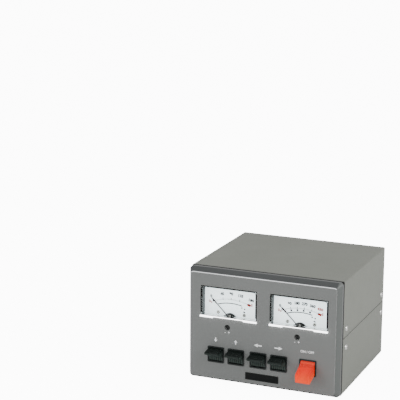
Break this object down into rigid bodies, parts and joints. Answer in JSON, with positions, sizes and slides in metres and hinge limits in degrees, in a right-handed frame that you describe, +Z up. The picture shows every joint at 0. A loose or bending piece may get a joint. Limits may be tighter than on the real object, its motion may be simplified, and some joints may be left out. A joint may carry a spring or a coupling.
{
  "type": "antenna rotator controller",
  "caption": "Desk-top control box with two dial meters, spring paddles and a power paddle on its front, and terminal strips behind, for turning an antenna in two axes.",
  "frame": {"origin": "on the surface the feet stand on, in the middle of the space the whole takes up, seen from above", "axes": "+Z up, -Y out of the front face, +X to the right seen from the front"},
  "size_m": [0.2042, 0.227, 0.151],
  "materials": {
    "badge_black": "plain black plate",
    "black_plastic": "black moulding",
    "blue_plastic": "blue moulding",
    "board": "brown circuit board",
    "brass_post": "turned brass",
    "can_metal": "drawn can",
    "can_sleeve": "shrunk sleeve",
    "clear_plastic": "clear cover",
    "core_steel": "varnished plates",
    "cover_paint": "satin warm grey paint",
    "dial_white": "white printed dial",
    "face_paint": "satin grey printed plate",
    "foot_rubber": "black rubber",
    "frame_plastic": "dark grey moulding",
    "lamp_glass": "clear glass",
    "needle_black": "dark painted needle",
    "panel_paint": "satin grey paint",
    "red_plastic": "red-orange moulding",
    "screw_metal": "bright plated",
    "white_plastic": "pale moulding",
    "winding_tape": "yellow tape over copper",
    "zinc_sheet": "plated sheet"
  },
  "bodies": {
    "chassis": {"adjuster_bodies": "blue_plastic", "badge_plate": "badge_black", "board_standoffs": "brass_post", "case_screws": "screw_metal", "chassis_tray": "zinc_sheet", "cord_gland": "black_plastic", "dial_screws": "screw_metal", "face_plate": "face_paint", "feet": "foot_rubber", "filter_capacitors": "can_sleeve", "front_frame": "frame_plastic", "front_wall": "frame_plastic", "fuse_holder": "black_plastic", "lower_cover": "cover_paint", "main_board": "board", "meter_case_left": "black_plastic", "meter_case_right": "black_plastic", "meter_dial_left": "dial_white", "meter_dial_right": "dial_white", "meter_hood_left": "black_plastic", "meter_hood_right": "black_plastic", "meter_lamps": "lamp_glass", "meter_movement_left": "core_steel", "meter_movement_right": "core_steel", "meter_window_left": "clear_plastic", "meter_window_right": "clear_plastic", "motor_capacitors": "can_metal", "rear_panel": "panel_paint", "relays": "blue_plastic", "round_socket": "black_plastic", "side_blocks": "zinc_sheet", "switch_body_down": "black_plastic", "switch_body_left": "black_plastic", "switch_body_power": "black_plastic", "switch_body_right": "black_plastic", "switch_body_up": "black_plastic", "terminal_screws": "screw_metal", "terminal_strip_left": "black_plastic", "terminal_strip_right": "black_plastic", "transformer_bracket": "zinc_sheet", "transformer_core": "core_steel", "transformer_screws": "screw_metal", "transformer_winding": "winding_tape", "trimmer_bodies": "blue_plastic", "upper_cover": "cover_paint"},
    "needle_left": {"meter_needle_left": "needle_black"},
    "needle_right": {"meter_needle_right": "needle_black"},
    "paddle_down": {"paddle_down": "black_plastic"},
    "paddle_up": {"paddle_up": "black_plastic"},
    "paddle_left": {"paddle_left": "black_plastic"},
    "paddle_right": {"paddle_right": "black_plastic"},
    "paddle_power": {"paddle_power": "red_plastic"},
    "trimmer_left": {"trimmer_rotor_left": "white_plastic"},
    "trimmer_right": {"trimmer_rotor_right": "white_plastic"},
    "adjuster_1": {"adjuster_rotor_1": "white_plastic"},
    "adjuster_2": {"adjuster_rotor_2": "white_plastic"},
    "adjuster_3": {"adjuster_rotor_3": "white_plastic"},
    "adjuster_4": {"adjuster_rotor_4": "white_plastic"},
    "fuse_holder_cap": {"fuse_cap": "black_plastic", "fuse_tube": "lamp_glass"}
  },
  "joints": [
    {"name": "needle_swing_left", "type": "hinge", "parent": "chassis", "child": "needle_left", "pos_m": [-0.0446, -0.08372, 0.08632], "axis": [0, 1, 0], "range_deg": [-1, 92]},
    {"name": "needle_swing_right", "type": "hinge", "parent": "chassis", "child": "needle_right", "pos_m": [0.0475, -0.08372, 0.08632], "axis": [0, 1, 0], "range_deg": [-1, 92]},
    {"name": "press_down", "type": "hinge", "parent": "chassis", "child": "paddle_down", "pos_m": [-0.0608, -0.08932, 0.041], "axis": [1, 0, 0], "range_deg": [0, 12], "stiffness_Nm_per_rad": 0.4},
    {"name": "press_up", "type": "hinge", "parent": "chassis", "child": "paddle_up", "pos_m": [-0.0338, -0.08932, 0.041], "axis": [1, 0, 0], "range_deg": [0, 12], "stiffness_Nm_per_rad": 0.4},
    {"name": "press_left", "type": "hinge", "parent": "chassis", "child": "paddle_left", "pos_m": [-0.00426, -0.08932, 0.041], "axis": [1, 0, 0], "range_deg": [0, 12], "stiffness_Nm_per_rad": 0.4},
    {"name": "press_right", "type": "hinge", "parent": "chassis", "child": "paddle_right", "pos_m": [0.0229, -0.08932, 0.041], "axis": [1, 0, 0], "range_deg": [0, 12], "stiffness_Nm_per_rad": 0.4},
    {"name": "power_tip", "type": "hinge", "parent": "chassis", "child": "paddle_power", "pos_m": [0.0607, -0.08932, 0.041], "axis": [1, 0, 0], "range_deg": [-28, 0]},
    {"name": "trim_left", "type": "hinge", "parent": "chassis", "child": "trimmer_left", "pos_m": [-0.0458, -0.08782, 0.07822], "axis": [0, 1, 0], "range_deg": [-130, 130]},
    {"name": "trim_right", "type": "hinge", "parent": "chassis", "child": "trimmer_right", "pos_m": [0.0461, -0.08782, 0.07822], "axis": [0, 1, 0], "range_deg": [-130, 130]},
    {"name": "adjust_1", "type": "hinge", "parent": "chassis", "child": "adjuster_1", "pos_m": [-0.066, 0.10068, 0.1145], "axis": [0, 1, 0], "range_deg": [-135, 135]},
    {"name": "adjust_2", "type": "hinge", "parent": "chassis", "child": "adjuster_2", "pos_m": [-0.044, 0.10068, 0.1145], "axis": [0, 1, 0], "range_deg": [-135, 135]},
    {"name": "adjust_3", "type": "hinge", "parent": "chassis", "child": "adjuster_3", "pos_m": [0.044, 0.10068, 0.1145], "axis": [0, 1, 0], "range_deg": [-135, 135]},
    {"name": "adjust_4", "type": "hinge", "parent": "chassis", "child": "adjuster_4", "pos_m": [0.066, 0.10068, 0.1145], "axis": [0, 1, 0], "range_deg": [-135, 135]},
    {"name": "fuse_cap_turn", "type": "hinge", "parent": "chassis", "child": "fuse_holder_cap", "pos_m": [0.042, 0.10268, 0.02617], "axis": [0, 1, 0], "range_deg": [0, 75]}
  ]
}
